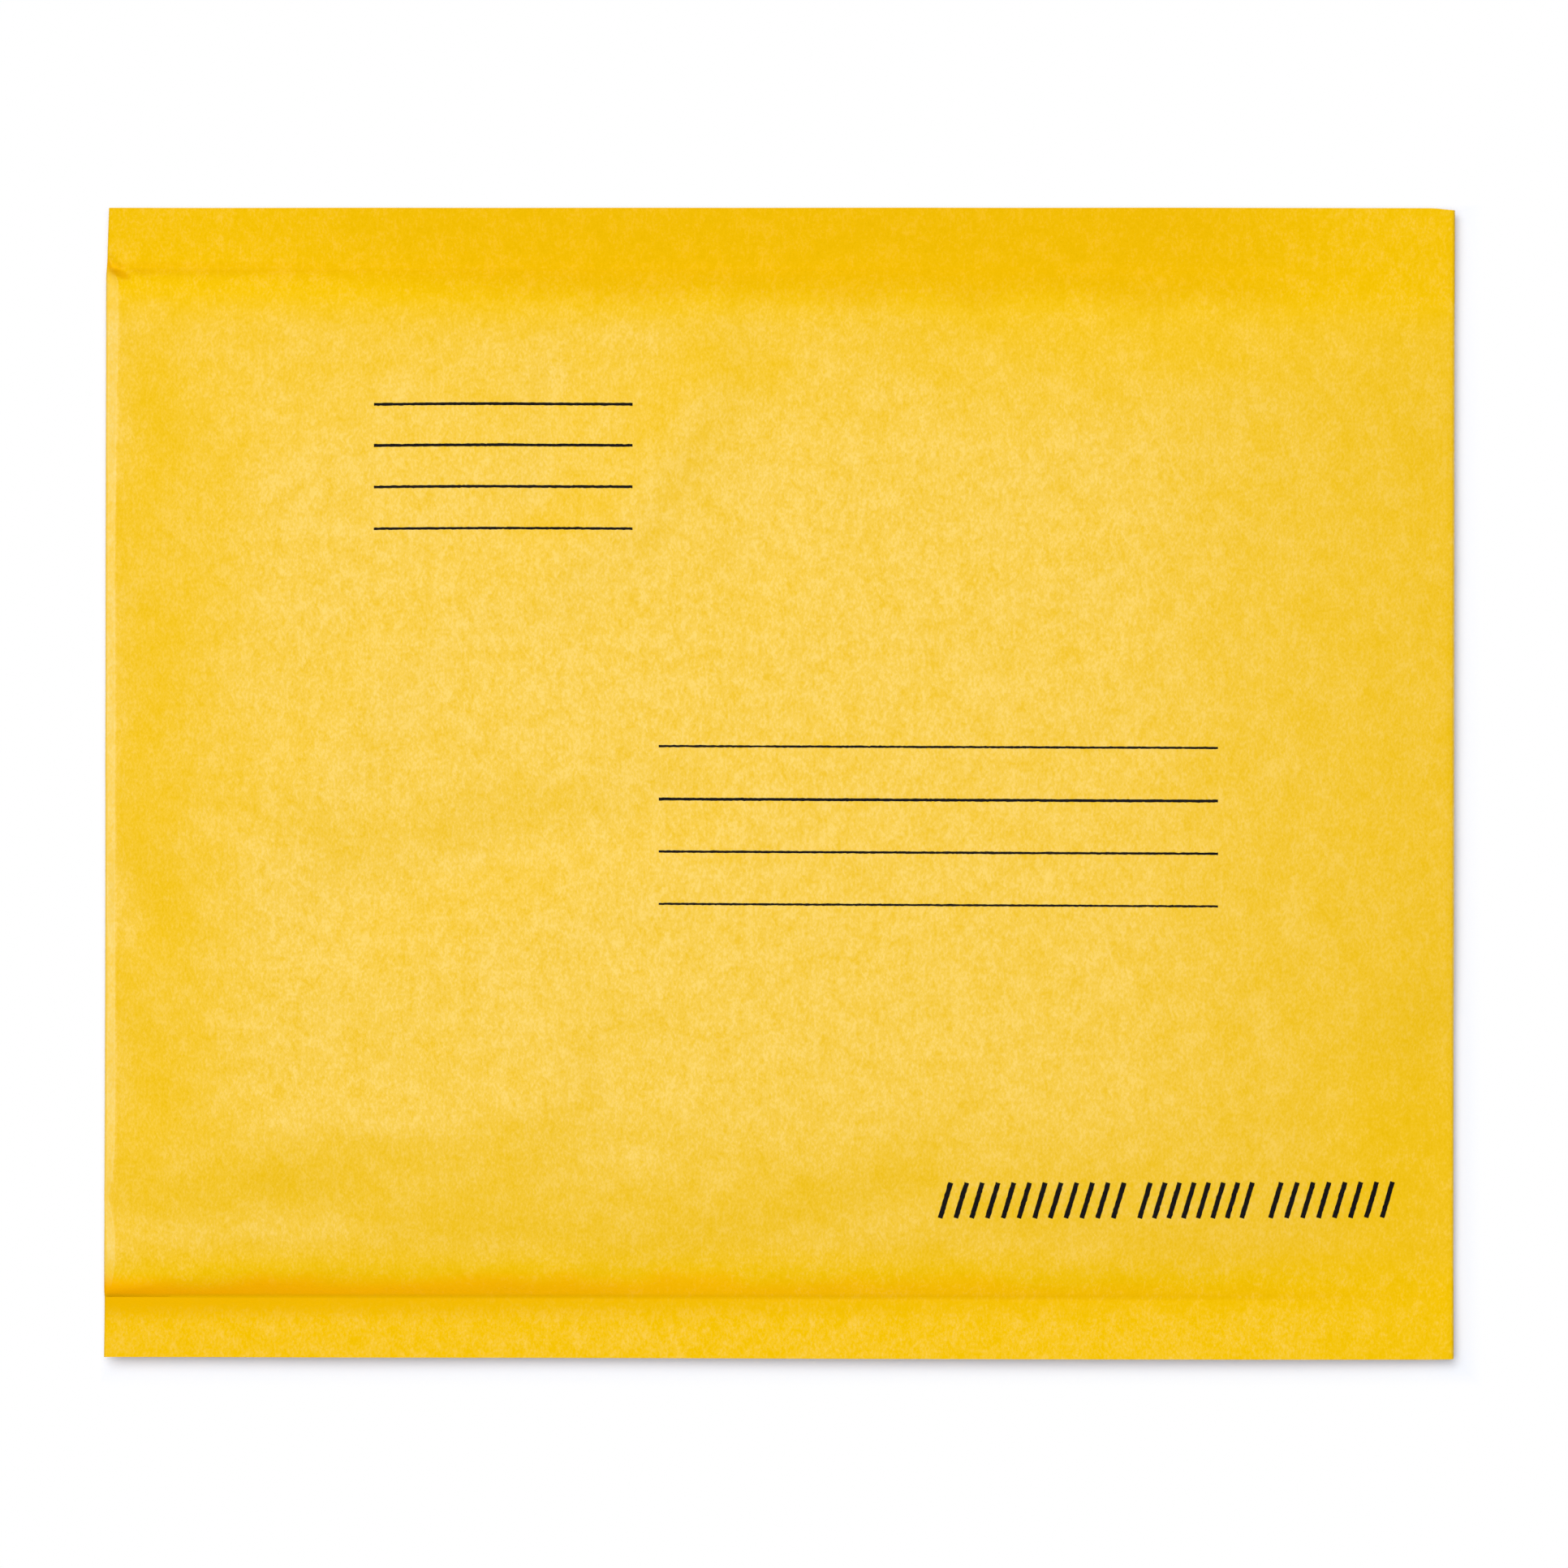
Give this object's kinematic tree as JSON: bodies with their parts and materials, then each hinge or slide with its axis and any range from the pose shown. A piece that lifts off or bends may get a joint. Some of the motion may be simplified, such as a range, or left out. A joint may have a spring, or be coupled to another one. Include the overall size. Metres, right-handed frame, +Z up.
{
  "type": "padded envelope",
  "caption": "Closed kraft padded envelope lying on its back: puffed rectangular body, flat pressed side seams, rolled bottom fold and a flap folded behind.",
  "frame": {"origin": "under the middle of the closed envelope, on the surface it rests on", "axes": "+X along the envelope from the rolled bottom fold to the flap fold, +Y across it towards the upper side seam when the printed lines are read, +Z up out of the address face"},
  "size_m": [0.216, 0.184, 0.0085],
  "materials": {
    "kraft_paper": "golden kraft paper, uncoated and slightly mottled, with a soft sheen"
  },
  "bodies": {
    "root": {"padded_envelope": "kraft_paper"}
  },
  "joints": []
}
